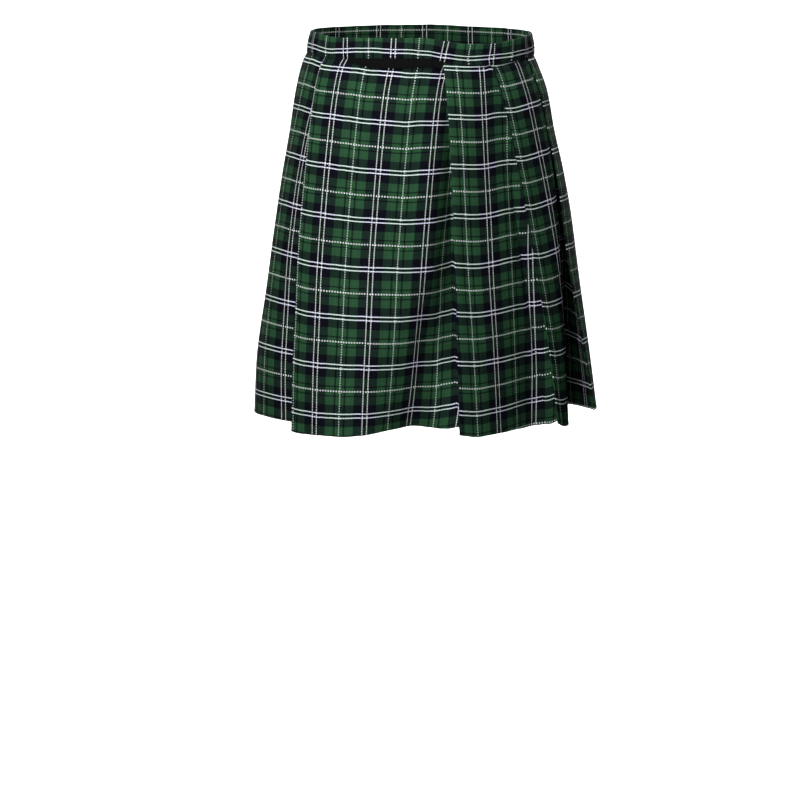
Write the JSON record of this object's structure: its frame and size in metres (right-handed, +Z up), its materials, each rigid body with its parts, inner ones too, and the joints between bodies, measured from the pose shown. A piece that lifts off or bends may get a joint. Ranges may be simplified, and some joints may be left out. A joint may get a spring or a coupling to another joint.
{
  "type": "kilt",
  "caption": "Pull-on tartan kilt in its hollow worn form: a knife-pleated skirt with a plain front apron, open at waist and hem, on an elasticated waistband.",
  "frame": {"origin": "centre of the waist opening, level with the top of the waistband at the sides, where the wearer's waist holds the kilt up", "axes": "+Z up, the plain apron at the front faces -Y, +X is the wearer's left"},
  "size_m": [0.5111, 0.3902, 0.595],
  "materials": {
    "tartan_cloth": "matt woven tartan",
    "black_tape": "soft woven tape"
  },
  "bodies": {
    "root": {"skirt_apron": "tartan_cloth", "skirt_pleat_1": "tartan_cloth", "skirt_pleat_2": "tartan_cloth", "skirt_pleat_3": "tartan_cloth", "skirt_pleat_4": "tartan_cloth", "skirt_pleat_5": "tartan_cloth", "skirt_pleat_6": "tartan_cloth", "skirt_pleat_7": "tartan_cloth", "skirt_pleat_8": "tartan_cloth", "skirt_pleat_9": "tartan_cloth", "waistband": "tartan_cloth", "seam_tape": "black_tape"}
  },
  "joints": []
}
